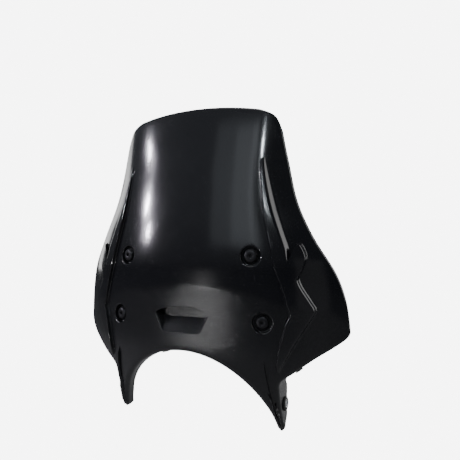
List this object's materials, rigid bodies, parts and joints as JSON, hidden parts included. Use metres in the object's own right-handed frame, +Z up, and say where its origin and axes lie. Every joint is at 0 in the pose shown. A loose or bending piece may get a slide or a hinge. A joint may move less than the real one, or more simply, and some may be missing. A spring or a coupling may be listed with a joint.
{
  "type": "motorcycle windshield screen",
  "caption": "Black moulded windshield screen with side wings, air vent, headlamp arch, rear stay and two leg pivots it tilts on.",
  "frame": {"origin": "midway between the two leg pivot sleeves, on their common axis", "axes": "+X to the rider's left along the pivot axis, -Y forwards out of the face, +Z up the screen"},
  "size_m": [0.386, 0.0706, 0.4001],
  "materials": {
    "moulded_abs": "high gloss black on the upper face, fine grained satin below, matt on the back",
    "stay_steel": "black powder coat",
    "bolt_steel": "black oxide with a satin sheen",
    "nylon": "plain black nylon",
    "soft_rubber": "matt moulded rubber",
    "brass": "turned",
    "zinc_steel": "bright zinc plate"
  },
  "bodies": {
    "pivots": {"left_pivot_sleeve": "zinc_steel", "right_pivot_sleeve": "zinc_steel"},
    "screen": {"screen_shell": "moulded_abs", "rear_stay": "stay_steel", "upper_left_bolt": "bolt_steel", "upper_left_washer": "nylon", "upper_left_well_nut": "soft_rubber", "upper_left_insert": "brass", "upper_right_bolt": "bolt_steel", "upper_right_washer": "nylon", "upper_right_well_nut": "soft_rubber", "upper_right_insert": "brass", "lower_left_bolt": "bolt_steel", "lower_left_washer": "nylon", "lower_left_well_nut": "soft_rubber", "lower_left_insert": "brass", "lower_right_bolt": "bolt_steel", "lower_right_washer": "nylon", "lower_right_well_nut": "soft_rubber", "lower_right_insert": "brass", "left_leg_grommet": "soft_rubber", "left_arch_buffer": "soft_rubber", "left_wing_pad": "soft_rubber", "right_leg_grommet": "soft_rubber", "right_arch_buffer": "soft_rubber", "right_wing_pad": "soft_rubber"}
  },
  "joints": [
    {"name": "screen_tilt", "type": "hinge", "parent": "pivots", "child": "screen", "pos_m": [0, 0, 0], "axis": [1, 0, 0], "range_deg": [-12, 10]}
  ]
}
